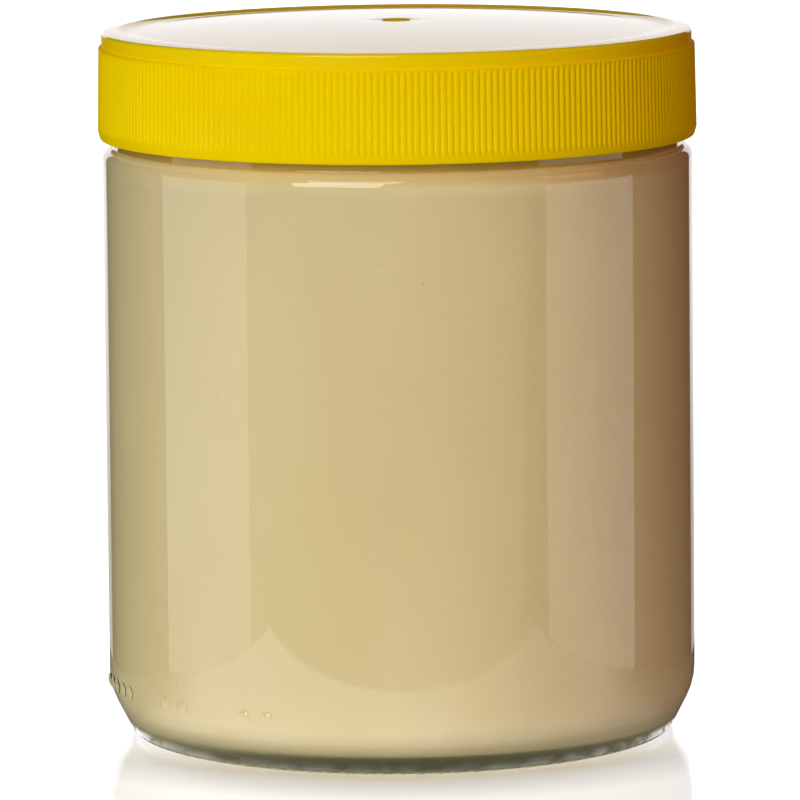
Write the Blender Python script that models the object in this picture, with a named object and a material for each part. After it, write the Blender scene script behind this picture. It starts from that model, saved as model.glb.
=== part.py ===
"""Shut jar of creamed honey: a turned glass jar, the honey in it and a ribbed screw lid.

Metres, +Z up. The origin is the middle of the jar's foot, and Z is the turning axis.
"""

import bmesh
import bpy
from math import acos, atan2, cos, hypot, pi, sin, tan
from mathutils import Vector

MM = 0.001

# Roundness and joining
SEGMENTS = 72
ARC_STEP = 22.0 * pi / 180.0
MERGE_DISTANCE = 0.00001
PLACE_TOLERANCE = 0.00002
SHARP_ANGLE = 32.0 * pi / 180.0
TOUCH_GAP = 0.3 * MM

# Glass, outside
BODY_RADIUS = 40.45 * MM
FOOT_CORNER_RADIUS = 37.2 * MM
FOOT_ROUNDING = 1.5 * MM
BEARING_INNER_RADIUS = 34.0 * MM
HEEL_CORNER_Z = 6.6 * MM
HEEL_ROUNDING = 9.0 * MM
PUSH_UP_RADIUS = 31.4 * MM
PUSH_UP_EDGE_Z = 1.2 * MM
PUSH_UP_CENTRE_Z = 2.0 * MM
SHOULDER_Z = 80.75 * MM
SHOULDER_RISE = 0.2 * MM
SHOULDER_ROUNDING = 1.5 * MM
NECK_RING_RADIUS = 38.8 * MM
NECK_RING_TOP_Z = 83.2 * MM
NECK_RADIUS = 38.45 * MM
NECK_STEP_RISE = 0.5 * MM
MOUTH_RADIUS = 35.9 * MM
MOUTH_Z = 94.9 * MM
MOUTH_OUTER_ROUNDING = 0.9 * MM
MOUTH_INNER_ROUNDING = 0.8 * MM

# Glass, inside
WALL = 2.35 * MM
FLOOR_CENTRE_Z = 4.3 * MM
FLOOR_EDGE_Z = 3.0 * MM
INNER_HEEL_ROUNDING = 4.0 * MM
THROAT_BOTTOM_Z = 78.0 * MM
THROAT_TOP_Z = 83.5 * MM
THROAT_ROUNDING = 4.0 * MM

# Honey
HONEY_LEVEL_Z = 89.0 * MM
HONEY_EDGE_ROUNDING = 0.6 * MM

# Lid, outside
LID_FOOT_Z = 82.25 * MM
LID_RIM_Z = 97.05 * MM
LID_FOOT_RADIUS = 40.7 * MM
LID_FOOT_ROUNDING = 0.25 * MM
RIB_BAND_RADIUS = 41.0 * MM
RIB_BAND_BOTTOM_Z = 83.35 * MM
RIB_BAND_TOP_Z = 94.72 * MM
RIB_DEPTH = 0.22 * MM
RIBS_PER_SEGMENT = 4
LID_RING_RADIUS = 40.35 * MM
LID_RIM_ROUNDING = 0.5 * MM
RIM_FALL = 0.2 * MM
RIM_INNER_RADIUS = 38.2 * MM
PANEL_RADIUS = 37.4 * MM
PANEL_DEPTH = 0.4 * MM
PANEL_CROWN = 1.3 * MM
CROWN_STEPS = 4
DIMPLE_RADIUS = 2.25 * MM
DIMPLE_DEPTH = 0.35 * MM
DIMPLE_SLOPE = 0.6 * MM

# Lid, inside
LID_WALL_INNER_RADIUS = 39.6 * MM
LID_CORNER_ROUNDING = 0.8 * MM

# Screw thread in short sloping stretches, on the neck and in the lid
THREAD_STARTS = 4
THREAD_SHARE = 0.75
THREAD_RUN_OUT = 0.25
THREAD_RISE = 2.4 * MM
THREAD_WIDTH = 2.2 * MM
THREAD_CREST_WIDTH = 1.0 * MM
THREAD_HEIGHT = 0.7 * MM
NECK_THREAD_Z = 89.4 * MM
LID_THREAD_Z = NECK_THREAD_Z - THREAD_WIDTH - TOUCH_GAP

# Colour, roughness and how much light passes through
GLASS_COLOUR = (0.86, 0.92, 0.84)
GLASS_ROUGHNESS = 0.03
HONEY_COLOUR = (0.64, 0.49, 0.26)
HONEY_ROUGHNESS = 0.45
LID_COLOUR = (0.83, 0.55, 0.005)
LID_ROUGHNESS = 0.25


def clear_scene():
    """Remove every object of the open file."""
    for leftover in list(bpy.data.objects):
        bpy.data.objects.remove(leftover, do_unlink=True)


def plain_material(name, colour, roughness, transmission=0.0):
    """A Principled material of one colour."""
    material = bpy.data.materials.new(name)
    material.use_nodes = True
    shader = material.node_tree.nodes["Principled BSDF"]
    shader.inputs["Base Color"].default_value = (*colour, 1.0)
    shader.inputs["Roughness"].default_value = roughness
    shader.inputs["Metallic"].default_value = 0.0
    shader.inputs["Transmission Weight"].default_value = transmission
    return material


def fillet(before, corner, after, radius):
    """Points of the arc that rounds a corner between two straight lines."""
    to_before = (before - corner).normalized()
    to_after = (after - corner).normalized()
    opening = acos(max(-1.0, min(1.0, to_before.dot(to_after))))
    turn = pi - opening
    reach = radius * tan(turn / 2.0)
    centre = corner + (to_before + to_after).normalized() * hypot(radius, reach)
    start = corner + to_before * reach - centre
    end = corner + to_after * reach - centre
    first = atan2(start.y, start.x)
    sweep = atan2(end.y, end.x) - first
    sweep = (sweep + pi) % (2.0 * pi) - pi
    steps = max(1, round(abs(sweep) / ARC_STEP))
    angles = [first + sweep * step / steps for step in range(steps + 1)]
    return [centre + radius * Vector((cos(angle), sin(angle))) for angle in angles]


def rounded(corners):
    """Profile points from corners (radius, height, rounding)."""
    points = [Vector(corner[:2]) for corner in corners]
    profile = []
    for index, (point, corner) in enumerate(zip(points, corners)):
        if corner[2] == 0.0:
            profile.append(point)
        else:
            profile += fillet(points[index - 1], point, points[index + 1], corner[2])
    return profile


def turned_mesh(profile):
    """Spin a profile that starts and ends on the axis into one closed body."""
    mesh = bmesh.new()
    points = [mesh.verts.new((point.x, 0.0, point.y)) for point in profile]
    edges = [mesh.edges.new(pair) for pair in zip(points, points[1:])]
    bmesh.ops.spin(mesh, geom=points + edges, cent=(0, 0, 0), axis=(0, 0, 1),
                   dvec=(0, 0, 0), angle=2.0 * pi, steps=SEGMENTS, use_merge=True)
    bmesh.ops.remove_doubles(mesh, verts=mesh.verts, dist=MERGE_DISTANCE)
    bmesh.ops.recalc_face_normals(mesh, faces=mesh.faces)
    return mesh


def thread_rows(radius, middle):
    """Profile corners for a thread: a foot, two rows of its crest and a foot again."""
    halves = (-THREAD_WIDTH, -THREAD_CREST_WIDTH, THREAD_CREST_WIDTH, THREAD_WIDTH)
    return [(radius, middle + half / 2.0, 0.0) for half in halves]


def raise_thread(mesh, radius, middle, outward):
    """Lift the crest rows at a radius into sloping thread stretches.

    Between two stretches the rows lie flush in the wall and run back down to the
    height where the next stretch begins.
    """
    for vertex in mesh.verts:
        height = vertex.co.z - middle
        on_wall = abs(hypot(vertex.co.x, vertex.co.y) - radius) < PLACE_TOLERANCE
        if not on_wall or abs(height) > THREAD_WIDTH / 2.0 + PLACE_TOLERANCE:
            continue
        turn = atan2(vertex.co.y, vertex.co.x) / (2.0 * pi) % 1.0
        place = turn * THREAD_STARTS % 1.0
        if place < THREAD_SHARE:
            along = place / THREAD_SHARE
            swell = min(1.0, min(along, 1.0 - along) / THREAD_RUN_OUT)
        else:
            along = (1.0 - place) / (1.0 - THREAD_SHARE)
            swell = 0.0
        if abs(height) < THREAD_WIDTH / 2.0 - PLACE_TOLERANCE:
            scale = 1.0 + outward * swell * THREAD_HEIGHT / radius
            vertex.co.x *= scale
            vertex.co.y *= scale
        vertex.co.z += THREAD_RISE * (along - 0.5)


def cut_ribs(mesh):
    """Divide the rib band into columns and press in every other one as a groove."""
    rims = [edge for edge in mesh.edges
            if all(abs(hypot(v.co.x, v.co.y) - RIB_BAND_RADIUS) < PLACE_TOLERANCE
                   for v in edge.verts)
            and abs(edge.verts[0].co.z - edge.verts[1].co.z) < PLACE_TOLERANCE]
    columns = 2 * RIBS_PER_SEGMENT
    split = bmesh.ops.subdivide_edges(mesh, edges=rims, cuts=columns - 1,
                                      use_grid_fill=False)
    band = {item for item in split["geom"] if isinstance(item, bmesh.types.BMVert)}
    band |= {vertex for edge in rims for vertex in edge.verts}
    pitch = 2.0 * pi / (SEGMENTS * columns)
    for vertex in band:
        angle = atan2(vertex.co.y, vertex.co.x)
        groove = round(angle / pitch) % 2 == 1
        radius = RIB_BAND_RADIUS - (RIB_DEPTH if groove else 0.0)
        vertex.co.x = radius * cos(angle)
        vertex.co.y = radius * sin(angle)


def place_body(name, mesh, material, parent, height=0.0):
    """Put a mesh in the scene as one named object, shaded smooth."""
    data = bpy.data.meshes.new(name)
    mesh.to_mesh(data)
    mesh.free()
    data.materials.append(material)
    data.shade_smooth()
    data.set_sharp_from_angle(angle=SHARP_ANGLE)
    body = bpy.data.objects.new(name, data)
    body.location = (0.0, 0.0, height)
    body.parent = parent
    bpy.context.scene.collection.objects.link(body)
    return body


def inner_profile(gap):
    """Corners of the jar's inside from the floor's middle to the throat's top."""
    wall_radius = BODY_RADIUS - WALL - gap
    return [
        (0.0, FLOOR_CENTRE_Z + gap, 0.0),
        (wall_radius, FLOOR_EDGE_Z + gap, INNER_HEEL_ROUNDING - gap),
        (wall_radius, THROAT_BOTTOM_Z, THROAT_ROUNDING),
        (MOUTH_RADIUS - gap, THROAT_TOP_Z, THROAT_ROUNDING),
    ]


def make_glass(parent):
    """The jar: pushed-up foot, slanting heel, straight wall, shoulder and screw neck."""
    outside = [
        (0.0, PUSH_UP_CENTRE_Z, 0.0),
        (PUSH_UP_RADIUS, PUSH_UP_EDGE_Z, 0.0),
        (BEARING_INNER_RADIUS, 0.0, 0.0),
        (FOOT_CORNER_RADIUS, 0.0, FOOT_ROUNDING),
        (BODY_RADIUS, HEEL_CORNER_Z, HEEL_ROUNDING),
        (BODY_RADIUS, SHOULDER_Z, SHOULDER_ROUNDING),
        (NECK_RING_RADIUS, SHOULDER_Z + SHOULDER_RISE, 0.0),
        (NECK_RING_RADIUS, NECK_RING_TOP_Z, 0.0),
        (NECK_RADIUS, NECK_RING_TOP_Z + NECK_STEP_RISE, 0.0),
    ]
    outside += thread_rows(NECK_RADIUS, NECK_THREAD_Z)
    rim = [
        (NECK_RADIUS, MOUTH_Z, MOUTH_OUTER_ROUNDING),
        (MOUTH_RADIUS, MOUTH_Z, MOUTH_INNER_ROUNDING),
    ]
    inside = inner_profile(0.0)[::-1]
    mesh = turned_mesh(rounded(outside + rim + inside))
    raise_thread(mesh, NECK_RADIUS, NECK_THREAD_Z, 1.0)
    glass = plain_material("pale green glass", GLASS_COLOUR, GLASS_ROUGHNESS, 1.0)
    return place_body("glass_jar", mesh, glass, parent)


def make_honey(parent):
    """Set honey that fills the jar up into the neck."""
    corners = inner_profile(TOUCH_GAP)
    corners.append((MOUTH_RADIUS - TOUCH_GAP, HONEY_LEVEL_Z, HONEY_EDGE_ROUNDING))
    corners.append((0.0, HONEY_LEVEL_Z, 0.0))
    mesh = turned_mesh(rounded(corners))
    honey = plain_material("creamed honey", HONEY_COLOUR, HONEY_ROUGHNESS)
    return place_body("honey", mesh, honey, parent)


def crowned_panel(edge):
    """Corners of the lid's crowned panel, from the dimple out to its edge's height."""
    corners = []
    for step in range(CROWN_STEPS + 1):
        radius = DIMPLE_RADIUS + (PANEL_RADIUS - DIMPLE_RADIUS) * step / CROWN_STEPS
        rise = PANEL_CROWN * (1.0 - (radius / PANEL_RADIUS) ** 2)
        corners.append((radius, edge + rise, 0.0))
    return corners


def make_lid(parent):
    """The screw lid, modelled from its own lower edge at height zero."""
    top = LID_RIM_Z - LID_FOOT_Z
    panel = top - PANEL_DEPTH
    dimple = panel + PANEL_CROWN - DIMPLE_DEPTH
    underside = MOUTH_Z + TOUCH_GAP - LID_FOOT_Z
    band_bottom = RIB_BAND_BOTTOM_Z - LID_FOOT_Z
    band_top = RIB_BAND_TOP_Z - LID_FOOT_Z
    thread = LID_THREAD_Z - LID_FOOT_Z
    middle = [(0.0, dimple, 0.0), (DIMPLE_RADIUS - DIMPLE_SLOPE, dimple, 0.0)]
    outside = [
        (RIM_INNER_RADIUS, top, 0.0),
        (LID_RING_RADIUS, top - RIM_FALL, LID_RIM_ROUNDING),
        (LID_RING_RADIUS, band_top, 0.0),
        (RIB_BAND_RADIUS, band_top, 0.0),
        (RIB_BAND_RADIUS, band_bottom, 0.0),
        (LID_FOOT_RADIUS, band_bottom, 0.0),
        (LID_FOOT_RADIUS, 0.0, LID_FOOT_ROUNDING),
        (LID_WALL_INNER_RADIUS, 0.0, 0.0),
    ]
    inside = thread_rows(LID_WALL_INNER_RADIUS, thread) + [
        (LID_WALL_INNER_RADIUS, underside, LID_CORNER_ROUNDING),
        (0.0, underside, 0.0),
    ]
    mesh = turned_mesh(rounded(middle + crowned_panel(panel) + outside + inside))
    raise_thread(mesh, LID_WALL_INNER_RADIUS, thread, -1.0)
    cut_ribs(mesh)
    plastic = plain_material("yellow lid plastic", LID_COLOUR, LID_ROUGHNESS)
    return place_body("lid", mesh, plastic, parent, LID_FOOT_Z)


def main():
    """Build the jar, its honey and its lid under one empty at the foot's middle."""
    clear_scene()
    foot = bpy.data.objects.new("jar_foot_centre", None)
    bpy.context.scene.collection.objects.link(foot)
    make_glass(foot)
    make_honey(foot)
    make_lid(foot)


main()
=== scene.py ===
"""Looks of a shut jar of creamed honey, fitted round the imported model.

A turned glass jar with a thick green foot, the pale set honey behind its wall and a
yellow ribbed screw lid. Lengths are metres, and the jar's front looks along -Y.
"""

from math import acos, atan2, cos, hypot, pi, radians, sin, tan

import bmesh
import bpy
from bpy.props import FloatProperty, FloatVectorProperty, IntProperty, PointerProperty
from bpy.types import Operator, Panel, PropertyGroup
from mathutils import Matrix, Quaternion, Vector


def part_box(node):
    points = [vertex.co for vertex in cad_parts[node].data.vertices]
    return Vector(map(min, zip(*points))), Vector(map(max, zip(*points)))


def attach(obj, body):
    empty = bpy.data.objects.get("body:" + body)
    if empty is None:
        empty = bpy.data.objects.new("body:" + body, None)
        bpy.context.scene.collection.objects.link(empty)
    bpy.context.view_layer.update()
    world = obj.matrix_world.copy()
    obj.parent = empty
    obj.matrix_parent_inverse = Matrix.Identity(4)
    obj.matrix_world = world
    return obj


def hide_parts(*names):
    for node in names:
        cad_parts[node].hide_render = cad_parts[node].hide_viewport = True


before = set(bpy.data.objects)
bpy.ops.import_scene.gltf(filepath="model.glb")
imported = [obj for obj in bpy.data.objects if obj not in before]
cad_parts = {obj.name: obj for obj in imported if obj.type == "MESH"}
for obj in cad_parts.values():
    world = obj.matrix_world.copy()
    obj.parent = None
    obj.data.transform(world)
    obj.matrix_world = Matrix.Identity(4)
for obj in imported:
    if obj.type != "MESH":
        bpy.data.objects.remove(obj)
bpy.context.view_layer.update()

bl_info = {
    "name": "Honey Jar",
    "version": (1, 0, 0),
    "blender": (4, 5, 0),
    "location": "View3D > Sidebar > Honey Jar",
    "description": "Models and finishes a shut glass jar of creamed honey",
    "category": "Object",
}

GLASS_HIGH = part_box("glass_jar")[1]
HONEY_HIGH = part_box("honey")[1]
LID_LOW, LID_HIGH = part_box("lid")

MM = 0.001
MERGE_DISTANCE = 0.01 * MM
PLACE_TOLERANCE = 0.02 * MM
ARC_STEP = radians(9.0)
JAR_SHARP_ANGLE = radians(40.0)
LID_SHARP_ANGLE = radians(35.0)
RIM_TOP_Z = 97.05 * MM


class JarSizes(PropertyGroup):
    """Sizes of the glass jar and of the honey in it."""

    body_radius: FloatProperty(
        name="Body radius", description="Outside of the straight glass wall",
        default=GLASS_HIGH.x, unit="LENGTH")
    wall: FloatProperty(
        name="Wall", description="Thickness of the straight glass wall",
        default=2.35 * MM, unit="LENGTH")
    mouth_height: FloatProperty(
        name="Mouth height", description="Top of the glass rim under the lid",
        default=GLASS_HIGH.z, unit="LENGTH")
    honey_level: FloatProperty(
        name="Honey level", description="Height of the honey's surface",
        default=HONEY_HIGH.z, unit="LENGTH")
    sides: IntProperty(
        name="Sides", description="Steps of the turned glass, four to each foot bump",
        default=368)


class LidSizes(PropertyGroup):
    """Sizes of the screw lid."""

    foot_height: FloatProperty(
        name="Foot height", description="Lower edge of the lid above the table",
        default=LID_LOW.z, unit="LENGTH")
    top_height: FloatProperty(
        name="Top height", description="Rim of the lid above the table",
        default=RIM_TOP_Z, unit="LENGTH")
    band_radius: FloatProperty(
        name="Band radius", description="Outside of the ribs at their lower end",
        default=LID_HIGH.x, unit="LENGTH")
    rib_depth: FloatProperty(
        name="Rib depth", description="Depth of the grooves between the ribs",
        default=0.22 * MM, unit="LENGTH")
    ribs: IntProperty(
        name="Ribs", description="Number of ribs round the grip band",
        default=288)


class JarColours(PropertyGroup):
    """Colours of the lid, the honey and thick glass."""

    lid: FloatVectorProperty(
        name="Lid", description="Plastic of the lid", subtype="COLOR",
        size=4, default=(1.0, 0.72, 0.0, 1.0))
    lid_deep: FloatVectorProperty(
        name="Lid, deeper", description="Plastic where the lid is denser", subtype="COLOR",
        size=4, default=(0.98, 0.69, 0.0, 1.0))
    honey: FloatVectorProperty(
        name="Honey", description="Smooth set honey", subtype="COLOR",
        size=4, default=(0.655, 0.525, 0.31, 1.0))
    honey_pale: FloatVectorProperty(
        name="Honey, paler", description="Cloudy streaks in the honey", subtype="COLOR",
        size=4, default=(0.685, 0.56, 0.345, 1.0))
    # Painted light: a golden, brighter honey colour up in the neck, standing for amber light
    # let through the yellow lid into the lid's shade
    honey_painted_lid_light: FloatVectorProperty(
        name="Honey, neck", description="Golden honey up in the neck", subtype="COLOR",
        size=4, default=(0.80, 0.50, 0.11, 1.0))
    glass_depth: FloatVectorProperty(
        name="Thick glass", description="Tint of light that crosses thick glass",
        subtype="COLOR", size=4, default=(0.38, 0.60, 0.24, 1.0))


def deselect_all():
    """Leave edit mode and deselect every object."""
    if bpy.context.object is not None and bpy.context.object.mode != "OBJECT":
        bpy.ops.object.mode_set(mode="OBJECT")
    bpy.ops.object.select_all(action="DESELECT")


def use_only(piece):
    """Make one object the only selected one and the active one."""
    deselect_all()
    piece.select_set(True)
    bpy.context.view_layer.objects.active = piece


def fillet(before, corner, after, radius):
    """Points of the arc that rounds a corner between two straight lines."""
    to_before = (before - corner).normalized()
    to_after = (after - corner).normalized()
    turn = pi - acos(max(-1.0, min(1.0, to_before.dot(to_after))))
    reach = radius * tan(turn / 2.0)
    centre = corner + (to_before + to_after).normalized() * hypot(radius, reach)
    start = corner + to_before * reach - centre
    end = corner + to_after * reach - centre
    first = atan2(start.y, start.x)
    sweep = (atan2(end.y, end.x) - first + pi) % (2.0 * pi) - pi
    steps = max(2, round(abs(sweep) / ARC_STEP))
    angles = [first + sweep * step / steps for step in range(steps + 1)]
    return [centre + radius * Vector((cos(angle), sin(angle))) for angle in angles]


def rounded(corners):
    """Profile points from corners (radius, height, rounding)."""
    points = [Vector(corner[:2]) for corner in corners]
    profile = []
    for index, (point, corner) in enumerate(zip(points, corners)):
        if corner[2] == 0.0:
            profile.append(point)
        else:
            profile += fillet(points[index - 1], point, points[index + 1], corner[2])
    return profile


def turn_profile(name, profile, steps):
    """Draw a profile by extruding one vertex and spin it round Z into a closed body."""
    deselect_all()
    bpy.ops.mesh.primitive_plane_add(size=MM, location=(0.0, 0.0, 0.0))
    piece = bpy.context.object
    piece.name = piece.data.name = name
    bpy.ops.object.mode_set(mode="EDIT")
    bpy.ops.mesh.merge(type="CENTER")
    bpy.ops.transform.translate(value=(profile[0].x, 0.0, profile[0].y))
    for before, point in zip(profile, profile[1:]):
        step = (point.x - before.x, 0.0, point.y - before.y)
        bpy.ops.mesh.extrude_vertices_move(TRANSFORM_OT_translate={"value": step})
    bpy.ops.mesh.select_all(action="SELECT")
    bpy.ops.mesh.spin(steps=steps, angle=2.0 * pi, center=(0.0, 0.0, 0.0), axis=(0.0, 0.0, 1.0))
    bpy.ops.mesh.select_all(action="SELECT")
    bpy.ops.mesh.remove_doubles(threshold=MERGE_DISTANCE)
    bpy.ops.mesh.normals_make_consistent(inside=False)
    return piece


def select_vertices(piece, chosen):
    """Select some vertices of the piece in edit mode, by a test of each vertex."""
    bpy.ops.mesh.select_mode(type="VERT")
    bpy.ops.mesh.select_all(action="DESELECT")
    mesh = bmesh.from_edit_mesh(piece.data)
    for vertex in mesh.verts:
        if chosen(vertex):
            vertex.select_set(True)
    mesh.select_flush_mode()
    bmesh.update_edit_mesh(piece.data)


def finish_piece(piece, material, sharp_angle, node):
    """Shade a piece smooth, give it its finish and put it in place of its node."""
    use_only(piece)
    bpy.ops.object.shade_smooth_by_angle(angle=sharp_angle)
    piece.data.materials.clear()
    piece.data.materials.append(material)
    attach(piece, "root")
    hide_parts(node)


# Thread of jar and lid: short sloping stretches round the neck
THREAD_STARTS = 4
THREAD_SHARE = 0.75
THREAD_RUN_OUT = 0.25
THREAD_RISE = 2.4 * MM
THREAD_WIDTH = 2.2 * MM
THREAD_CREST_WIDTH = 1.0 * MM
THREAD_HEIGHT = 0.7 * MM
NECK_THREAD_Z = 89.4 * MM
THREAD_GAP = 0.3 * MM


def thread_rows(radius, middle):
    """Profile corners for a thread: a foot, two rows of its crest and a foot again."""
    halves = (-THREAD_WIDTH, -THREAD_CREST_WIDTH, THREAD_CREST_WIDTH, THREAD_WIDTH)
    return [(radius, middle + half / 2.0, 0.0) for half in halves]


def raise_thread(piece, radius, middle, outward):
    """Lift the crest rows at a radius into sloping stretches of thread."""
    mesh = bmesh.from_edit_mesh(piece.data)
    for vertex in mesh.verts:
        height = vertex.co.z - middle
        on_wall = abs(hypot(vertex.co.x, vertex.co.y) - radius) < PLACE_TOLERANCE
        if not on_wall or abs(height) > THREAD_WIDTH / 2.0 + PLACE_TOLERANCE:
            continue
        place = atan2(vertex.co.y, vertex.co.x) / (2.0 * pi) % 1.0 * THREAD_STARTS % 1.0
        if place < THREAD_SHARE:
            along = place / THREAD_SHARE
            swell = min(1.0, min(along, 1.0 - along) / THREAD_RUN_OUT)
        else:
            along = (1.0 - place) / (1.0 - THREAD_SHARE)
            swell = 0.0
        if abs(height) < THREAD_WIDTH / 2.0 - PLACE_TOLERANCE:
            scale = 1.0 + outward * swell * THREAD_HEIGHT / radius
            vertex.co.x *= scale
            vertex.co.y *= scale
        vertex.co.z += THREAD_RISE * (along - 0.5)
    bmesh.update_edit_mesh(piece.data)


# Glass
FOOT_LIFT = 0.25 * MM
FOOT_CORNER_RADIUS = 37.2 * MM
FOOT_ROUNDING = 1.5 * MM
BEARING_INNER_RADIUS = 34.0 * MM
BEARING_INNER_ROUNDING = 0.5 * MM
BUMP_RADIUS = 36.0 * MM
BUMP_HALF_LENGTH = 0.9 * MM
BUMP_RINGS = 6
BUMP_COLUMN_DEPTHS = (1.0, 0.5, 0.0, 0.5)
HEEL_CORNER_Z = 6.6 * MM
HEEL_ROUNDING = 9.0 * MM
PUSH_UP_RADIUS = 31.4 * MM
PUSH_UP_ROUNDING = 1.5 * MM
PUSH_UP_EDGE_Z = 1.2 * MM
PUSH_UP_CENTRE_Z = 2.0 * MM
SHOULDER_Z = 80.75 * MM
SHOULDER_RISE = 0.2 * MM
SHOULDER_ROUNDING = 1.5 * MM
NECK_RING_RADIUS = 38.8 * MM
NECK_RING_TOP_Z = 83.2 * MM
NECK_RING_ROUNDING = 0.25 * MM
NECK_RADIUS = 38.45 * MM
NECK_STEP_RISE = 0.5 * MM
MOUTH_RADIUS = 35.9 * MM
MOUTH_OUTER_ROUNDING = 0.9 * MM
MOUTH_INNER_ROUNDING = 0.8 * MM
FLOOR_CENTRE_Z = 4.3 * MM
FLOOR_EDGE_Z = 3.0 * MM
INNER_HEEL_ROUNDING = 4.0 * MM
THROAT_BOTTOM_Z = 78.0 * MM
THROAT_TOP_Z = 83.5 * MM
THROAT_ROUNDING = 4.0 * MM

# Rings near the roundings, which keep the straight walls' smooth normals level
WALL_LOW_Z = 9.4 * MM
WALL_HIGH_Z = 78.8 * MM
NECK_WALL_LOW_Z = 81.3 * MM
NECK_WALL_HIGH_Z = 82.8 * MM

# Mould dots on the heel, with their places in degrees from the front
DOT_HEIGHT_Z = 7.8 * MM
DOT_RADIUS = 1.0 * MM
DOT_RELIEF = 0.45 * MM
DOT_ANGLES = (-26.8, -31.7, -47.3, -52.8, -66.9, -70.6, -74.6, -78.2, -82.5)
DOT_SEGMENTS = 20
DOT_RINGS = 10


def inner_corners(sizes, grow):
    """Corners of the jar's inside from the floor's middle to the throat's top."""
    wall_radius = sizes.body_radius - sizes.wall + grow
    return [
        (0.0, FLOOR_CENTRE_Z - grow, 0.0),
        (wall_radius, FLOOR_EDGE_Z - grow, INNER_HEEL_ROUNDING + grow),
        (wall_radius, THROAT_BOTTOM_Z, THROAT_ROUNDING),
        (MOUTH_RADIUS + grow, THROAT_TOP_Z, THROAT_ROUNDING),
    ]


def bump_rings():
    """Radii of the rings that shape the small bumps under the foot."""
    return [BUMP_RADIUS + BUMP_HALF_LENGTH * (2.0 * ring / BUMP_RINGS - 1.0)
            for ring in range(BUMP_RINGS + 1)]


def glass_profile(sizes):
    """Profile of the jar from under its middle, up the outside and down the inside."""
    outside = [
        (0.0, PUSH_UP_CENTRE_Z, 0.0),
        (PUSH_UP_RADIUS, PUSH_UP_EDGE_Z, PUSH_UP_ROUNDING),
        (BEARING_INNER_RADIUS, FOOT_LIFT, BEARING_INNER_ROUNDING),
    ]
    outside += [(radius, FOOT_LIFT, 0.0) for radius in bump_rings()]
    outside += [
        (FOOT_CORNER_RADIUS, FOOT_LIFT, FOOT_ROUNDING),
        (sizes.body_radius, HEEL_CORNER_Z, HEEL_ROUNDING),
        (sizes.body_radius, WALL_LOW_Z, 0.0),
        (sizes.body_radius, WALL_HIGH_Z, 0.0),
        (sizes.body_radius, SHOULDER_Z, SHOULDER_ROUNDING),
        (NECK_RING_RADIUS, SHOULDER_Z + SHOULDER_RISE, NECK_RING_ROUNDING),
        (NECK_RING_RADIUS, NECK_WALL_LOW_Z, 0.0),
        (NECK_RING_RADIUS, NECK_WALL_HIGH_Z, 0.0),
        (NECK_RING_RADIUS, NECK_RING_TOP_Z, NECK_RING_ROUNDING),
        (NECK_RADIUS, NECK_RING_TOP_Z + NECK_STEP_RISE, 0.0),
    ]
    outside += thread_rows(NECK_RADIUS, NECK_THREAD_Z)
    rim = [
        (NECK_RADIUS, sizes.mouth_height, MOUTH_OUTER_ROUNDING),
        (MOUTH_RADIUS, sizes.mouth_height, MOUTH_INNER_ROUNDING),
    ]
    return rounded(outside + rim + inner_corners(sizes, 0.0)[::-1])


def press_foot_bumps(piece, sizes):
    """Pull points of the rings under the foot down to the table as rounded bumps."""
    pitch = 2.0 * pi / sizes.sides
    columns = len(BUMP_COLUMN_DEPTHS)
    for radius in bump_rings()[1:-1]:
        across = cos(0.5 * pi * (radius - BUMP_RADIUS) / BUMP_HALF_LENGTH)
        for column, along in enumerate(BUMP_COLUMN_DEPTHS):
            if along == 0.0:
                continue
            select_vertices(piece, lambda vertex: (
                abs(vertex.co.z - FOOT_LIFT) < PLACE_TOLERANCE
                and abs(hypot(vertex.co.x, vertex.co.y) - radius) < PLACE_TOLERANCE
                and round(atan2(vertex.co.y, vertex.co.x) / pitch) % columns == column))
            bpy.ops.transform.translate(value=(0.0, 0.0, -FOOT_LIFT * across * along))


def heel_place(profile, height):
    """Radius and outward slope angle of the outside at a height on the heel."""
    for low, high in zip(profile, profile[1:]):
        if low.y <= height < high.y and low.x > FOOT_CORNER_RADIUS:
            share = (height - low.y) / (high.y - low.y)
            return low.x + share * (high.x - low.x), atan2(high.x - low.x, high.y - low.y)
    raise ValueError("no heel at this height")


def add_mould_dots(piece, profile):
    """Fuse the small raised dots of the mould to the heel."""
    radius, slope = heel_place(profile, DOT_HEIGHT_Z)
    dots = []
    for angle in DOT_ANGLES:
        deselect_all()
        bpy.ops.mesh.primitive_uv_sphere_add(segments=DOT_SEGMENTS, ring_count=DOT_RINGS,
                                             radius=DOT_RADIUS)
        dot = bpy.context.object
        bpy.ops.object.mode_set(mode="EDIT")
        bpy.ops.mesh.select_all(action="SELECT")
        bpy.ops.transform.resize(value=(1.0, 1.0, DOT_RELIEF / DOT_RADIUS))
        bpy.ops.object.mode_set(mode="OBJECT")
        azimuth = radians(angle - 90.0)
        turn = Matrix.Rotation(azimuth, 4, "Z") @ Matrix.Rotation(pi / 2.0 + slope, 4, "Y")
        place = Vector((radius * cos(azimuth), radius * sin(azimuth), DOT_HEIGHT_Z))
        dot.data.transform(Matrix.Translation(place) @ turn)
        dots.append(dot)
    deselect_all()
    for dot in dots:
        dot.select_set(True)
    bpy.context.view_layer.objects.active = dots[0]
    bpy.ops.object.join()
    use_only(piece)
    union = piece.modifiers.new("mould dots", "BOOLEAN")
    union.operation = "UNION"
    union.solver = "EXACT"
    union.object = dots[0]
    bpy.ops.object.modifier_apply(modifier=union.name)
    bpy.data.objects.remove(dots[0], do_unlink=True)


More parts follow.
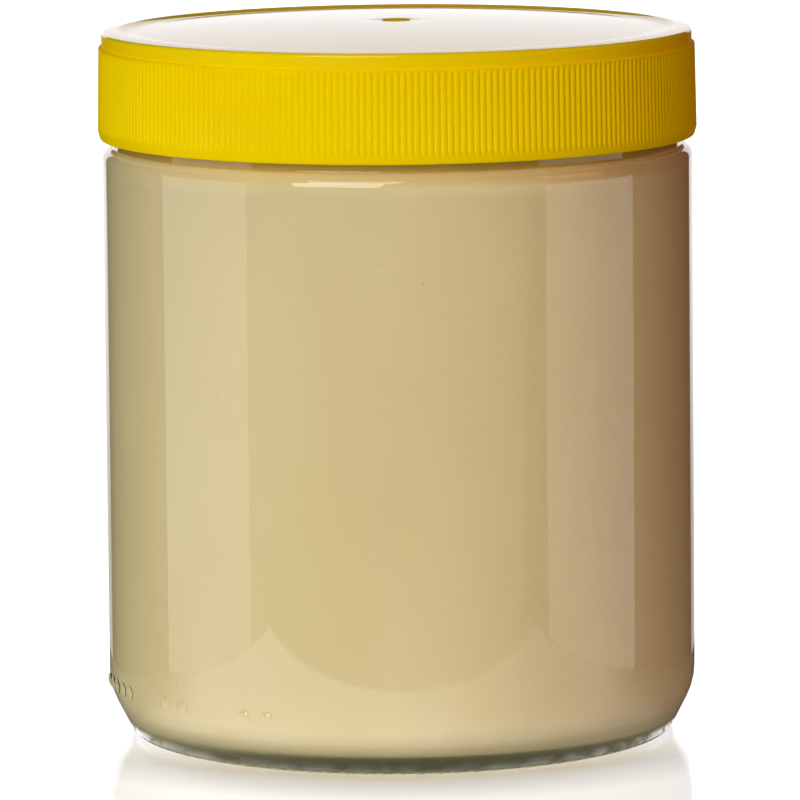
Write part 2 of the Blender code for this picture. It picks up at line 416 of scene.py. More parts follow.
class HONEYJAR_OT_glass(Operator):
    """Turn the glass jar with its heel, bumpy foot, mould dots, shoulder and neck"""

    bl_idname = "honey_jar.glass"
    bl_label = "Glass jar"

    def execute(self, context):
        sizes = context.scene.jar_sizes
        profile = glass_profile(sizes)
        piece = turn_profile("jar_glass_wall", profile, sizes.sides)
        raise_thread(piece, NECK_RADIUS, NECK_THREAD_Z, 1.0)
        press_foot_bumps(piece, sizes)
        bpy.ops.object.mode_set(mode="OBJECT")
        add_mould_dots(piece, profile)
        finish_piece(piece, glass_material(context.scene.jar_colours), JAR_SHARP_ANGLE,
                     "glass_jar")
        return {"FINISHED"}


# Honey
HONEY_REACH = 0.05 * MM
HONEY_EDGE_ROUNDING = 0.6 * MM
HONEY_SIDES = 192


class HONEYJAR_OT_honey(Operator):
    """Turn the honey, which reaches just into the glass so that no air gap shows"""

    bl_idname = "honey_jar.honey"
    bl_label = "Honey"

    def execute(self, context):
        sizes = context.scene.jar_sizes
        corners = inner_corners(sizes, HONEY_REACH)
        corners.append((MOUTH_RADIUS + HONEY_REACH, sizes.honey_level, HONEY_EDGE_ROUNDING))
        corners.append((0.0, sizes.honey_level, 0.0))
        piece = turn_profile("honey_fill", rounded(corners), HONEY_SIDES)
        bpy.ops.object.mode_set(mode="OBJECT")
        finish_piece(piece, honey_material(context.scene.jar_colours), JAR_SHARP_ANGLE,
                     "honey")
        return {"FINISHED"}


# Lid
FOOT_RING_RADIUS = 40.7 * MM
FOOT_RING_HEIGHT = 1.1 * MM
LID_FOOT_OUTER_ROUNDING = 0.3 * MM
LID_FOOT_INNER_ROUNDING = 0.2 * MM
BAND_DRAFT = 0.22 * MM
BAND_TOP_DROP = 2.33 * MM
BAND_ROUNDING = 0.06 * MM
TOP_RING_RADIUS = 40.35 * MM
RIM_FALL = 0.2 * MM
RIM_ROUNDING = 0.5 * MM
RIM_INNER_RADIUS = 38.2 * MM
RIM_INNER_ROUNDING = 0.4 * MM
PANEL_RADIUS = 37.4 * MM
PANEL_DEPTH = 0.40 * MM
PANEL_CROWN = 1.3 * MM
CROWN_STEPS = 14
DIMPLE_RADIUS = 2.25 * MM
DIMPLE_DEPTH = 0.35 * MM
DIMPLE_SLOPE = 0.6 * MM
DIMPLE_ROUNDING = 0.2 * MM
LID_WALL_INNER_RADIUS = 39.6 * MM
LID_RIM_GAP = 0.3 * MM
UNDERSIDE_ROUNDING = 0.8 * MM
RIB_COLUMNS = 4
RIB_COLUMN_DEPTHS = (0.0, 0.25, 1.0, 0.25)
RIB_RUN_OUT = 0.7 * MM
RIB_EDGE_CLEARANCE = 0.15 * MM
LID_THREAD_Z = NECK_THREAD_Z - THREAD_WIDTH - THREAD_GAP


def crowned_panel(panel_z):
    """Points of the slightly crowned panel from the dimple's edge outwards."""
    points = []
    for step in range(CROWN_STEPS + 1):
        radius = DIMPLE_RADIUS + (PANEL_RADIUS - DIMPLE_RADIUS) * step / CROWN_STEPS
        rise = PANEL_CROWN * (1.0 - (radius / PANEL_RADIUS) ** 2)
        points.append((radius, panel_z + rise, 0.0))
    return points


def lid_profile(sizes, mouth_height):
    """Profile of the lid from the dimple, over the rim, down the outside and inside."""
    top = sizes.top_height
    foot = sizes.foot_height
    panel = top - PANEL_DEPTH
    dimple = panel + PANEL_CROWN - DIMPLE_DEPTH
    band_top = top - BAND_TOP_DROP
    band_bottom = foot + FOOT_RING_HEIGHT
    underside = mouth_height + LID_RIM_GAP
    middle = [(0.0, dimple, 0.0), (DIMPLE_RADIUS - DIMPLE_SLOPE, dimple, DIMPLE_ROUNDING)]
    rim = [
        (RIM_INNER_RADIUS, top, RIM_INNER_ROUNDING),
        (TOP_RING_RADIUS, top - RIM_FALL, RIM_ROUNDING),
        (TOP_RING_RADIUS, band_top, 0.0),
    ]
    top_radius = sizes.band_radius - BAND_DRAFT
    run_out = RIB_RUN_OUT / (band_top - band_bottom) * BAND_DRAFT
    band = [
        (top_radius, band_top, BAND_ROUNDING),
        (top_radius + run_out, band_top - RIB_RUN_OUT, 0.0),
        (sizes.band_radius - run_out, band_bottom + RIB_RUN_OUT, 0.0),
        (sizes.band_radius, band_bottom, 0.0),
    ]
    foot_ring = [
        (FOOT_RING_RADIUS, foot, LID_FOOT_OUTER_ROUNDING),
        (LID_WALL_INNER_RADIUS, foot, LID_FOOT_INNER_ROUNDING),
    ]
    inside = thread_rows(LID_WALL_INNER_RADIUS, LID_THREAD_Z)
    inside.append((LID_WALL_INNER_RADIUS, underside, UNDERSIDE_ROUNDING))
    inside.append((0.0, underside, 0.0))
    return rounded(middle + crowned_panel(panel) + rim + band + foot_ring + inside)


def press_ribs(piece, sizes):
    """Divide the grip band into narrow columns and press in the grooves between ribs."""
    band_top = sizes.top_height - BAND_TOP_DROP
    band_bottom = sizes.foot_height + FOOT_RING_HEIGHT
    edge_radius = TOP_RING_RADIUS + RIB_EDGE_CLEARANCE

    def on_band(vertex):
        return (band_bottom - PLACE_TOLERANCE < vertex.co.z < band_top + PLACE_TOLERANCE
                and hypot(vertex.co.x, vertex.co.y) > edge_radius)

    bpy.ops.mesh.select_mode(type="EDGE")
    bpy.ops.mesh.select_all(action="DESELECT")
    mesh = bmesh.from_edit_mesh(piece.data)
    for edge in mesh.edges:
        level = abs(edge.verts[0].co.z - edge.verts[1].co.z) < MERGE_DISTANCE
        if level and on_band(edge.verts[0]) and on_band(edge.verts[1]):
            edge.select_set(True)
    bmesh.update_edit_mesh(piece.data)
    bpy.ops.mesh.subdivide(number_cuts=RIB_COLUMNS - 1, ngon=True)

    pitch = 2.0 * pi / (sizes.ribs * RIB_COLUMNS)
    depths = {}
    mesh = bmesh.from_edit_mesh(piece.data)
    mesh.verts.ensure_lookup_table()
    for vertex in mesh.verts:
        if not on_band(vertex):
            continue
        column = round(atan2(vertex.co.y, vertex.co.x) / pitch) % RIB_COLUMNS
        end = min(band_top - vertex.co.z, vertex.co.z - band_bottom) / RIB_RUN_OUT
        depth = RIB_COLUMN_DEPTHS[column] * max(0.0, min(1.0, end))
        radius = hypot(vertex.co.x, vertex.co.y)
        scale = 1.0 - sizes.rib_depth * depth / radius
        depths.setdefault(round(scale, 7), []).append(vertex.index)
    for scale, indices in depths.items():
        if scale == 1.0:
            continue
        chosen = set(indices)
        select_vertices(piece, lambda vertex: vertex.index in chosen)
        bpy.ops.transform.resize(value=(scale, scale, 1.0), center_override=(0.0, 0.0, 0.0))


class HONEYJAR_OT_lid(Operator):
    """Turn the screw lid with its recessed panel, rim, ribbed grip band and thread"""

    bl_idname = "honey_jar.lid"
    bl_label = "Lid"

    def execute(self, context):
        sizes = context.scene.lid_sizes
        profile = lid_profile(sizes, context.scene.jar_sizes.mouth_height)
        piece = turn_profile("lid_shell", profile, sizes.ribs)
        raise_thread(piece, LID_WALL_INNER_RADIUS, LID_THREAD_Z, -1.0)
        press_ribs(piece, sizes)
        bpy.ops.object.mode_set(mode="OBJECT")
        finish_piece(piece, lid_material(context.scene.jar_colours), LID_SHARP_ANGLE,
                     "lid")
        return {"FINISHED"}


def new_group(name, inputs, outputs):
    """A node group with named sockets, and its nodes for input and output."""
    group = bpy.data.node_groups.new(name, "ShaderNodeTree")
    for socket_name, kind, value in inputs:
        socket = group.interface.new_socket(name=socket_name, in_out="INPUT", socket_type=kind)
        if value is not None:
            socket.default_value = value
    for socket_name, kind in outputs:
        group.interface.new_socket(name=socket_name, in_out="OUTPUT", socket_type=kind)
    return group, group.nodes.new("NodeGroupInput"), group.nodes.new("NodeGroupOutput")


class Nodes:
    """Short ways to add nodes to a tree; each value may be a number, colour or socket."""

    def __init__(self, tree):
        self.nodes = tree.nodes
        self.links = tree.links

    def plug(self, socket, value):
        """Set a socket to a plain value, or link another socket to it."""
        if isinstance(value, bpy.types.NodeSocket):
            self.links.new(value, socket)
        else:
            socket.default_value = value

    def axes(self, place):
        """Outputs X, Y and Z of a place."""
        split = self.nodes.new("ShaderNodeSeparateXYZ")
        self.links.new(place, split.inputs[0])
        return split.outputs

    def ramp(self, value, start, end, low=0.0, high=1.0, smooth=False):
        """Number that runs from low to high while a value goes from start to end."""
        span = self.nodes.new("ShaderNodeMapRange")
        if smooth:
            span.interpolation_type = "SMOOTHSTEP"
        settings = {"Value": value, "From Min": start, "From Max": end,
                    "To Min": low, "To Max": high}
        for name, setting in settings.items():
            self.plug(span.inputs[name], setting)
        return span.outputs["Result"]

    def between(self, mask, low, high):
        """Number that runs from low to high with a mask."""
        return self.ramp(mask, 0.0, 1.0, low, high)

    def step(self, value, edge, blur):
        """Mask that goes from 0 to 1 where a value passes an edge."""
        return self.ramp(value, edge - blur / 2.0, edge + blur / 2.0, smooth=True)

    def math(self, operation, *values):
        """Result of a sum on one or two values."""
        node = self.nodes.new("ShaderNodeMath")
        node.operation = operation
        for socket, value in zip(node.inputs, values):
            self.plug(socket, value)
        return node.outputs[0]

    def blend(self, mask, first, second):
        """Colour that runs from first to second with a mask."""
        mix = self.nodes.new("ShaderNodeMix")
        mix.data_type = "RGBA"
        self.plug(mix.inputs[0], mask)
        self.plug(mix.inputs[6], first)
        self.plug(mix.inputs[7], second)
        return mix.outputs[2]

    def blend_values(self, mask, first, second):
        """Number that runs from first to second with a mask."""
        mix = self.nodes.new("ShaderNodeMix")
        self.plug(mix.inputs[0], mask)
        self.plug(mix.inputs[2], first)
        self.plug(mix.inputs[3], second)
        return mix.outputs[0]


def mottling_group():
    """Soft clouds, drawn out along Z by Stretch, as a mask between Low and High."""
    if "Soft mottling" in bpy.data.node_groups:
        return bpy.data.node_groups["Soft mottling"]
    group, source, result = new_group(
        "Soft mottling",
        [("Vector", "NodeSocketVector", None), ("Scale", "NodeSocketFloat", 60.0),
         ("Stretch", "NodeSocketFloat", 1.0), ("Detail", "NodeSocketFloat", 3.0),
         ("Low", "NodeSocketFloat", 0.35), ("High", "NodeSocketFloat", 0.65)],
        [("Mask", "NodeSocketFloat")])
    tree = Nodes(group)
    combine = group.nodes.new("ShaderNodeCombineXYZ")
    scale = group.nodes.new("ShaderNodeVectorMath")
    scale.operation = "MULTIPLY"
    noise = group.nodes.new("ShaderNodeTexNoise")
    tree.plug(combine.inputs["X"], 1.0)
    tree.plug(combine.inputs["Y"], 1.0)
    tree.plug(combine.inputs["Z"], tree.math("DIVIDE", 1.0, source.outputs["Stretch"]))
    tree.plug(scale.inputs[0], source.outputs["Vector"])
    tree.plug(scale.inputs[1], combine.outputs[0])
    tree.plug(noise.inputs["Vector"], scale.outputs[0])
    tree.plug(noise.inputs["Scale"], source.outputs["Scale"])
    tree.plug(noise.inputs["Detail"], source.outputs["Detail"])
    mask = tree.ramp(noise.outputs[0], source.outputs["Low"], source.outputs["High"],
                     smooth=True)
    tree.plug(result.inputs["Mask"], mask)
    return group


class Finish(Nodes):
    """A new material with its Principled shader and ways to dress it."""

    def __init__(self, name):
        self.material = bpy.data.materials.new(name)
        self.material.use_nodes = True
        super().__init__(self.material.node_tree)
        self.shader = self.nodes["Principled BSDF"]
        self.output = self.nodes["Material Output"]
        self.place = self.nodes.new("ShaderNodeTexCoord").outputs["Object"]

    def dress(self, **values):
        """Set or link inputs of the shader; underscores stand for spaces."""
        for name, value in values.items():
            self.plug(self.shader.inputs[name.replace("_", " ")], value)

    def mottling(self, scale, stretch=1.0, low=0.3, high=0.7, detail=3.0):
        """Mask of the shared mottling with values of its own."""
        group = self.nodes.new("ShaderNodeGroup")
        group.node_tree = mottling_group()
        values = {"Vector": self.place, "Scale": scale, "Stretch": stretch,
                  "Detail": detail, "Low": low, "High": high}
        for name, value in values.items():
            self.plug(group.inputs[name], value)
        return group.outputs["Mask"]

    def bump(self, height, distance, strength):
        """Feed a height to the shader's normal."""
        bump = self.nodes.new("ShaderNodeBump")
        self.plug(bump.inputs["Distance"], distance)
        self.plug(bump.inputs["Strength"], strength)
        self.plug(bump.inputs["Height"], height)
        self.dress(Normal=bump.outputs["Normal"])

    def clear_where(self, mask):
        """Let rays pass unchanged where a mask is 1, and show the shader elsewhere."""
        clear = self.nodes.new("ShaderNodeBsdfTransparent")
        mix = self.nodes.new("ShaderNodeMixShader")
        self.plug(mix.inputs["Fac"], mask)
        self.plug(mix.inputs[1], self.shader.outputs["BSDF"])
        self.plug(mix.inputs[2], clear.outputs["BSDF"])
        self.plug(self.output.inputs["Surface"], mix.outputs["Shader"])


GLASS_COLOUR = (0.985, 1.0, 0.985, 1.0)
GLASS_IOR = 1.52
GLASS_DENSITY = 32.0
GLASS_ROUGHNESS = 0.02
GLASS_WAVE_DEPTH = 0.02 * MM


def glass_material(colours):
    """Clear glass, green in its depth, faintly drawn out along the wall."""
    finish = Finish("clear green glass")
    marks = finish.mottling(scale=70.0, stretch=3.0, low=0.45, high=0.75)
    finish.dress(Base_Color=GLASS_COLOUR, Metallic=0.0, IOR=GLASS_IOR,
                 Transmission_Weight=1.0,
                 Roughness=finish.between(marks, 0.0, GLASS_ROUGHNESS))
    waves = finish.mottling(scale=110.0, stretch=8.0, detail=1.0)
    finish.bump(waves, GLASS_WAVE_DEPTH, strength=0.5)
    depth = finish.nodes.new("ShaderNodeVolumeAbsorption")
    finish.plug(depth.inputs["Color"], colours.glass_depth)
    finish.plug(depth.inputs["Density"], GLASS_DENSITY)
    finish.plug(finish.output.inputs["Volume"], depth.outputs["Volume"])
    path = finish.nodes.new("ShaderNodeLightPath")
    finish.clear_where(path.outputs["Is Shadow Ray"])
    return finish.material


# Painted light: above this height the honey takes the golden colour that stands for amber light
# through the lid
PAINTED_LID_LIGHT_ABOVE_Z = 79.6 * MM
PAINTED_LID_LIGHT_BLUR = 2.2 * MM
SPECK_COLOUR = (0.45, 0.32, 0.14, 1.0)
SPECK_SCALE = 160.0
SPECK_CORE = 0.03
SPECK_EDGE = 0.06
SPECK_STRENGTH = 0.25
HONEY_ROUGHNESS = (0.4, 0.55)
HONEY_GRAIN_DEPTH = 0.03 * MM


def honey_material(colours):
    """Smooth set honey with faint paler clouds and specks, and a painted golden light up in the
    neck, standing for amber light let through the yellow lid.
    """
    finish = Finish("pale creamed honey")
    clouds = finish.mottling(scale=45.0, stretch=2.5)
    cloudy = finish.blend(clouds, colours.honey, colours.honey_pale)
    specks = finish.nodes.new("ShaderNodeTexVoronoi")
    finish.plug(specks.inputs["Scale"], SPECK_SCALE)
    finish.plug(specks.inputs["Vector"], finish.place)
    speck = finish.ramp(specks.outputs["Distance"], SPECK_CORE, SPECK_EDGE,
                        SPECK_STRENGTH, 0.0)
    speckled = finish.blend(speck, cloudy, SPECK_COLOUR)
    # Painted light: above the neck height the honey turns golden and brighter for the amber
    # light through the lid
    neck = finish.step(finish.axes(finish.place)["Z"], PAINTED_LID_LIGHT_ABOVE_Z, PAINTED_LID_LIGHT_BLUR)
    grain = finish.mottling(scale=900.0)
    finish.dress(Base_Color=finish.blend(neck, speckled, colours.honey_painted_lid_light),
                 Metallic=0.0, Specular_IOR_Level=0.0,
                 Roughness=finish.between(grain, *HONEY_ROUGHNESS))
    finish.bump(grain, HONEY_GRAIN_DEPTH, strength=0.4)
    return finish.material


POLISH_DEPTH = 0.5 * MM
POLISH_BLUR = 0.3 * MM
WALL_POLISH = 0.03
LID_ROUGHNESS = (0.4, 0.5)
LID_GRAIN_DEPTH = 0.01 * MM


def lid_material(colours):
    """Yellow moulded plastic, glossy on top and satin on its ribbed wall."""
    finish = Finish("glossy yellow plastic")
    flow = finish.mottling(scale=60.0)
    skin = finish.mottling(scale=220.0, low=0.35, high=0.75)
    height = finish.axes(finish.place)["Z"]
    polished = finish.step(height, RIM_TOP_Z - POLISH_DEPTH, POLISH_BLUR)
    finish.dress(Base_Color=finish.blend(flow, colours.lid, colours.lid_deep),
                 Metallic=0.0, IOR=1.5, Specular_IOR_Level=0.0,
                 Roughness=finish.between(skin, *LID_ROUGHNESS),
                 Coat_IOR=1.6, Coat_Roughness=0.08,
                 Coat_Weight=finish.between(polished, WALL_POLISH, 1.0))
    finish.bump(finish.mottling(scale=700.0), LID_GRAIN_DEPTH, strength=0.5)
    return finish.material


# Camera, at the photograph's angle
CAMERA_DISTANCE = 0.9559
CAMERA_ELEVATION = radians(7.915)
CAMERA_ROLL = radians(0.54)
CAMERA_AIM = Vector((0.00003, 0.0, 0.0455))
CAMERA_LENS_MM = 312.2
CAMERA_SENSOR_MM = 36.0
CAMERA_CLIP_END = 100.0

# The small table that light and mirror images meet; the camera sees it without an end
FLOOR_SIZE = 8.0
TABLE_HALF_WIDTH = 0.096
TABLE_SPLAY = 0.14
TABLE_TAPER = 0.70
TABLE_FRONT = 0.107
TABLE_EDGE_BLUR = 0.006
FLOOR_COLOUR = (0.35, 0.35, 0.35, 1.0)
FLOOR_ROUGHNESS = 0.10
FLOOR_GLOSS = 0.5

# Glow of the table as the camera sees it, warm and dim just before the foot
FOOT_GLOW_COLOUR = (1.0, 0.88, 0.66, 1.0)
FOOT_GLOW_RADIUS = 0.041
FOOT_GLOW_BLUR = 0.006
FLOOR_GLOW_AT_FOOT = 0.38
FLOOR_GLOW_AT_SIDE = 0.66
FLOOR_GLOW_SEEN = 0.70
SEEN_NEAR_RADIUS = 0.038
SEEN_FAR_RADIUS = 0.055
SEEN_FRONT = -0.034
SEEN_SIDE = -0.012

# Glow of the table through the glass, dark under the foot
FLOOR_GLOW_NEAR = 0.9
FLOOR_GLOW_FAR = 0.45
GLOW_NEAR_RADIUS = 0.045
GLOW_FAR_RADIUS = 0.090
GLOW_SHADOW_RADIUS = 0.037
GLOW_SHADOW_BLUR = 0.006

# Glow of the table that lights the honey, weaker on the right
LIT_GLOW_NEAR = 1.25
LIT_GLOW_FAR = 0.65
LIT_NEAR_RADIUS = 0.042
LIT_FAR_RADIUS = 0.056
LIT_UNDER_SHARE = 0.22
LIT_SIDE_START = 0.0
LIT_SIDE_END = 0.050
LIT_SIDE_SHARE = 0.35

# Glow of the table in mirror images: a patch before the jar and streaks at its foot
MIRROR_GLOW_NEAR = 1.8
MIRROR_GLOW_FAR = 1.4
MIRROR_NEAR_RADIUS = 0.046
MIRROR_FAR_RADIUS = 0.056
MIRROR_SIDE = 0.035
MIRROR_RIGHT_SHARE = 0.6
MIRROR_FRONT = -0.036
MIRROR_BACK = -0.008
MIRROR_SHADOW_RADIUS = 0.0415
MIRROR_SHADOW_BLUR = 0.002
MIRROR_SHADOW_SHARE = 0.2
STREAK_SCALE = 260.0
FOOT_LINE_GLOW_LOW = 0.4
FOOT_LINE_GLOW_HIGH = 1.7
FOOT_LINE_RADIUS = 0.0384
FOOT_LINE_BLUR = 0.001
CONTACT_RADIUS = 0.0372
CONTACT_BLUR = 0.0006
CONTACT_SHARE = 0.2

# Backdrop and room
WHITE = (1.0, 1.0, 1.0, 1.0)
BACKDROP_LIGHT = (1.26, 1.26, 1.32, 1.0)
BACKDROP_LOW_LIGHT = (0.60, 0.58, 0.56, 1.0)
BACKDROP_HALF_ANGLE = radians(21.5)
BACKDROP_BLUR = radians(2.0)
BACKDROP_FADE_START = radians(-9.5)
BACKDROP_FADE_END = radians(-6.0)
ROOM_LIGHT = (0.040, 0.035, 0.030, 1.0)


def aimed(location, target):
    """Turn that points a lamp or camera at a target."""
    return (Vector(target) - Vector(location)).to_track_quat("-Z", "Y")


def around(azimuth, elevation, distance, height=0.0):
    """Place seen from a height on the axis: azimuth in degrees to the camera's right."""
    turn = radians(azimuth)
    rise = radians(elevation)
    return Vector((distance * sin(turn) * cos(rise), -distance * cos(turn) * cos(rise),
                   distance * sin(rise) + height))


def add_softbox(name, place, aim_height, width, height, radiance, colour):
    """A rectangular lamp with a given brightness of its face."""
    bpy.ops.object.light_add(type="AREA", location=place)
    lamp = bpy.context.object
    lamp.name = lamp.data.name = name
    lamp.rotation_mode = "QUATERNION"
    lamp.rotation_quaternion = aimed(place, (0.0, 0.0, aim_height))
    lamp.visible_camera = False
    lamp.data.shape = "RECTANGLE"
    lamp.data.size = width
    lamp.data.size_y = height
    lamp.data.color = colour
    lamp.data.energy = radiance * pi * width * height


def glow_seen(finish, beside_foot, radius):
    """Strength of the table's glow as the camera sees it."""
    before_foot = finish.ramp(radius, SEEN_NEAR_RADIUS, SEEN_FAR_RADIUS,
                              FLOOR_GLOW_AT_FOOT, FLOOR_GLOW_SEEN)
    beside = finish.between(beside_foot, FLOOR_GLOW_AT_FOOT, FLOOR_GLOW_AT_SIDE)
    return finish.math("MAXIMUM", before_foot, beside)


def glow_passed(finish, axes, radius, lights_honey):
    """Strength of the table's glow through the glass, and of what lights the honey."""
    clear_of_foot = finish.step(radius, GLOW_SHADOW_RADIUS, GLOW_SHADOW_BLUR)
    through = finish.ramp(radius, GLOW_NEAR_RADIUS, GLOW_FAR_RADIUS,
                          FLOOR_GLOW_NEAR, FLOOR_GLOW_FAR)
    through = finish.math("MULTIPLY", through, clear_of_foot)
    lit = finish.ramp(radius, LIT_NEAR_RADIUS, LIT_FAR_RADIUS, LIT_GLOW_NEAR, LIT_GLOW_FAR)
    for share in (finish.ramp(axes["X"], LIT_SIDE_START, LIT_SIDE_END, 1.0, LIT_SIDE_SHARE),
                  finish.between(clear_of_foot, LIT_UNDER_SHARE, 1.0)):
        lit = finish.math("MULTIPLY", lit, share)
    return finish.blend_values(lights_honey, through, lit)


def glow_mirrored(finish, axes, radius):
    """Strength of the table's glow in mirror images."""
    patch = finish.ramp(radius, MIRROR_NEAR_RADIUS, MIRROR_FAR_RADIUS,
                        MIRROR_GLOW_NEAR, MIRROR_GLOW_FAR)
    clear_of_heel = finish.step(radius, MIRROR_SHADOW_RADIUS, MIRROR_SHADOW_BLUR)
    for share in (finish.ramp(axes["X"], -MIRROR_SIDE, MIRROR_SIDE, 1.0, MIRROR_RIGHT_SHARE),
                  finish.ramp(axes["Y"], MIRROR_FRONT, MIRROR_BACK, 1.0, 0.0),
                  finish.between(clear_of_heel, MIRROR_SHADOW_SHARE, 1.0)):
        patch = finish.math("MULTIPLY", patch, share)
    streaks = finish.mottling(STREAK_SCALE, low=0.4, high=0.6)
    line = finish.between(streaks, FOOT_LINE_GLOW_LOW, FOOT_LINE_GLOW_HIGH)
    past_contact = finish.step(radius, CONTACT_RADIUS, CONTACT_BLUR)
    line = finish.math("MULTIPLY", line, finish.between(past_contact, CONTACT_SHARE, 1.0))
    past_line = finish.step(radius, FOOT_LINE_RADIUS, FOOT_LINE_BLUR)
    return finish.blend_values(past_line, line, patch)


def past_table_edge(finish, axes):
    """Mask of the floor beyond the small table, which narrows towards its back."""
    depth = axes["Y"]
    narrowing = finish.math("MAXIMUM", finish.math("MULTIPLY", depth, TABLE_SPLAY),
                            finish.math("MULTIPLY", depth, TABLE_TAPER))
    sideways = finish.math("ADD", finish.math("ABSOLUTE", axes["X"]), narrowing)
    past_side = finish.step(sideways, TABLE_HALF_WIDTH, TABLE_EDGE_BLUR)
    forwards = finish.math("MULTIPLY", depth, -1.0)
    past_front = finish.step(forwards, TABLE_FRONT, TABLE_EDGE_BLUR)
    return finish.math("MAXIMUM", past_side, past_front)


def floor_material():
    """Pale glossy table: endless as the camera sees it, small to light and reflections."""
    finish = Finish("pale glossy table")
    axes = finish.axes(finish.place)
    length = finish.nodes.new("ShaderNodeVectorMath")
    length.operation = "LENGTH"
    finish.plug(length.inputs[0], finish.place)
    radius = length.outputs["Value"]
    path = finish.nodes.new("ShaderNodeLightPath").outputs
    seen = path["Is Camera Ray"]
    unseen = finish.math("SUBTRACT", 1.0, seen)
    mirrored = finish.math("MULTIPLY", path["Is Reflection Ray"], path["Is Glossy Ray"])
    lights_honey = finish.math("GREATER_THAN", path["Diffuse Depth"], 0.5)
    beside_foot = finish.ramp(axes["Y"], SEEN_FRONT, SEEN_SIDE)
    white = finish.step(radius, FOOT_GLOW_RADIUS, FOOT_GLOW_BLUR)
    for also_white in (beside_foot, unseen):
        white = finish.math("MAXIMUM", white, also_white)
    glow = finish.blend_values(mirrored, glow_passed(finish, axes, radius, lights_honey),
                               glow_mirrored(finish, axes, radius))
    glow = finish.blend_values(seen, glow, glow_seen(finish, beside_foot, radius))
    finish.dress(Base_Color=FLOOR_COLOUR, Metallic=0.0, IOR=1.45, Roughness=FLOOR_ROUGHNESS,
                 Specular_IOR_Level=finish.between(mirrored, FLOOR_GLOSS, 0.0),
                 Emission_Color=finish.blend(white, FOOT_GLOW_COLOUR, WHITE),
                 Emission_Strength=glow)
    finish.clear_where(finish.math("MULTIPLY", past_table_edge(finish, axes), unseen))
    return finish.material


def light_world():
    """A bright backdrop behind the jar and a dim, warm room everywhere else."""
    world = bpy.data.worlds.new("studio")
    world.use_nodes = True
    bpy.context.scene.world = world
    tree = Nodes(world.node_tree)
    axes = tree.axes(tree.nodes.new("ShaderNodeTexCoord").outputs["Generated"])
    behind = tree.ramp(axes["Y"], cos(BACKDROP_HALF_ANGLE + BACKDROP_BLUR / 2.0),
                       cos(BACKDROP_HALF_ANGLE - BACKDROP_BLUR / 2.0), smooth=True)
    risen = tree.ramp(axes["Z"], sin(BACKDROP_FADE_START), sin(BACKDROP_FADE_END),
                      smooth=True)
    backdrop = tree.blend(risen, BACKDROP_LOW_LIGHT, BACKDROP_LIGHT)
    room = tree.blend(behind, ROOM_LIGHT, backdrop)
    seen = tree.nodes.new("ShaderNodeLightPath").outputs["Is Camera Ray"]
    tree.plug(tree.nodes["Background"].inputs["Color"], tree.blend(seen, room, WHITE))


WHITE_LIGHT = (1.0, 1.0, 1.0)
KEY_LIGHT = (1.0, 0.99, 0.97)
COOL_LIGHT = (0.97, 1.0, 1.06)
AMBER_LIGHT = (1.0, 0.28, 0.06)

# Heights on the axis that the lamps are aimed at
LEFT_AIM = -0.020
RIGHT_AIM = -0.036
JAR_AIM = 0.050

# Each softbox: its name, place, height of its aim, width, height, radiance and colour
SOFTBOXES = (
    ("left softbox", around(-80.0, 0.0, 0.60, LEFT_AIM), LEFT_AIM,
     0.46, 0.300, 1.1, COOL_LIGHT),
    ("right softbox", around(79.0, 0.0, 0.60, RIGHT_AIM), RIGHT_AIM,
     0.48, 0.125, 1.1, WHITE_LIGHT),
    ("key softbox", around(-18.0, 35.0, 0.90), JAR_AIM, 0.50, 0.400, 3.3, KEY_LIGHT),
    ("low softbox", around(-23.0, 15.0, 0.90), JAR_AIM, 0.55, 0.400, 4.8, KEY_LIGHT),
    ("top softbox", around(-20.0, 75.0, 0.90), JAR_AIM, 0.40, 0.400, 0.3, KEY_LIGHT),
    ("amber softbox", around(72.0, 25.0, 0.90), JAR_AIM, 0.40, 0.400, 2.1, AMBER_LIGHT),
)


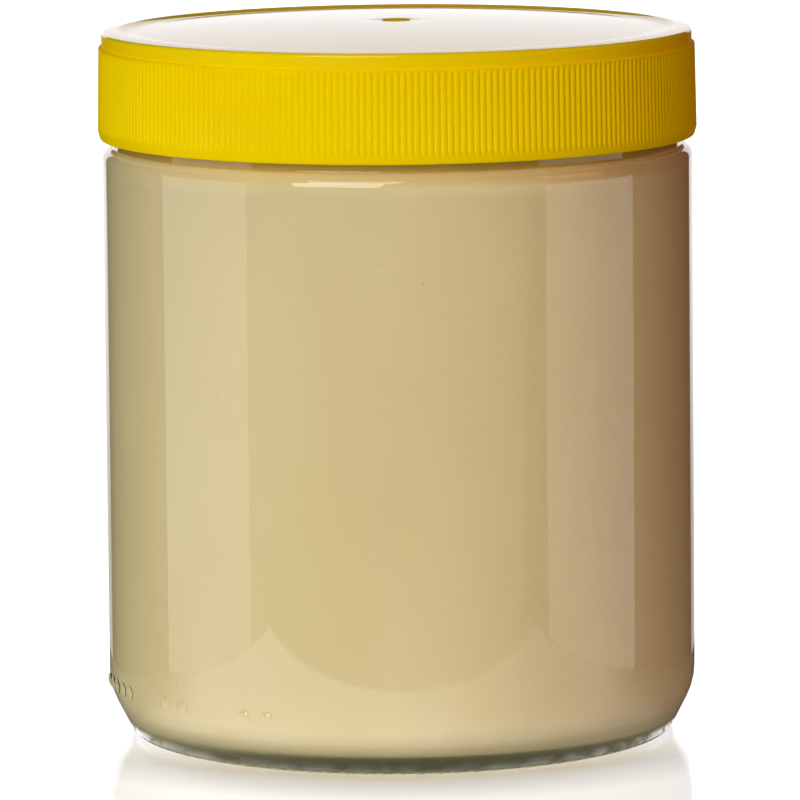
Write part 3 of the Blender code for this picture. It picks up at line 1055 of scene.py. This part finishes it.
class HONEYJAR_OT_stage(Operator):
    """Lay the pale table, hang the lamps and place the camera"""

    bl_idname = "honey_jar.stage"
    bl_label = "Stage"

    def execute(self, context):
        deselect_all()
        bpy.ops.mesh.primitive_plane_add(size=FLOOR_SIZE, location=(0.0, 0.0, 0.0))
        floor = context.object
        floor.name = floor.data.name = "pale_table"
        floor.data.materials.append(floor_material())
        for softbox in SOFTBOXES:
            add_softbox(*softbox)
        light_world()
        back = Vector((0.0, -cos(CAMERA_ELEVATION), sin(CAMERA_ELEVATION)))
        place = CAMERA_AIM + back * CAMERA_DISTANCE
        bpy.ops.object.camera_add(location=place)
        camera = context.object
        camera.rotation_mode = "QUATERNION"
        roll = Quaternion((0.0, 0.0, 1.0), -CAMERA_ROLL)
        camera.rotation_quaternion = aimed(place, CAMERA_AIM) @ roll
        camera.data.lens = CAMERA_LENS_MM
        camera.data.sensor_width = CAMERA_SENSOR_MM
        camera.data.clip_end = CAMERA_CLIP_END
        context.scene.camera = camera
        context.scene.view_settings.view_transform = "Standard"
        return {"FINISHED"}


class HONEYJAR_PT_panel(Panel):
    """Buttons for the pieces and the values that they use"""

    bl_label = "Honey Jar"
    bl_idname = "HONEYJAR_PT_panel"
    bl_space_type = "VIEW_3D"
    bl_region_type = "UI"
    bl_category = "Honey Jar"

    def draw(self, context):
        for group in (context.scene.jar_sizes, context.scene.lid_sizes,
                      context.scene.jar_colours):
            box = self.layout.box()
            for name in group.__annotations__:
                box.prop(group, name)
        for operator in OPERATORS:
            self.layout.operator(operator.bl_idname)


OPERATORS = (HONEYJAR_OT_glass, HONEYJAR_OT_honey, HONEYJAR_OT_lid, HONEYJAR_OT_stage)
CLASSES = (JarSizes, LidSizes, JarColours, *OPERATORS, HONEYJAR_PT_panel)
GROUPS = {"jar_sizes": JarSizes, "lid_sizes": LidSizes, "jar_colours": JarColours}


def register():
    """Make the classes and the scene's values known."""
    for item in CLASSES:
        bpy.utils.register_class(item)
    for name, group in GROUPS.items():
        setattr(bpy.types.Scene, name, PointerProperty(type=group))


def unregister():
    """Take the scene's values and the classes away again."""
    for name in GROUPS:
        delattr(bpy.types.Scene, name)
    for item in reversed(CLASSES):
        bpy.utils.unregister_class(item)


def main():
    """Make every piece and the stage."""
    register()
    bpy.ops.honey_jar.glass()
    bpy.ops.honey_jar.honey()
    bpy.ops.honey_jar.lid()
    bpy.ops.honey_jar.stage()


if __name__ == "__main__":
    main()
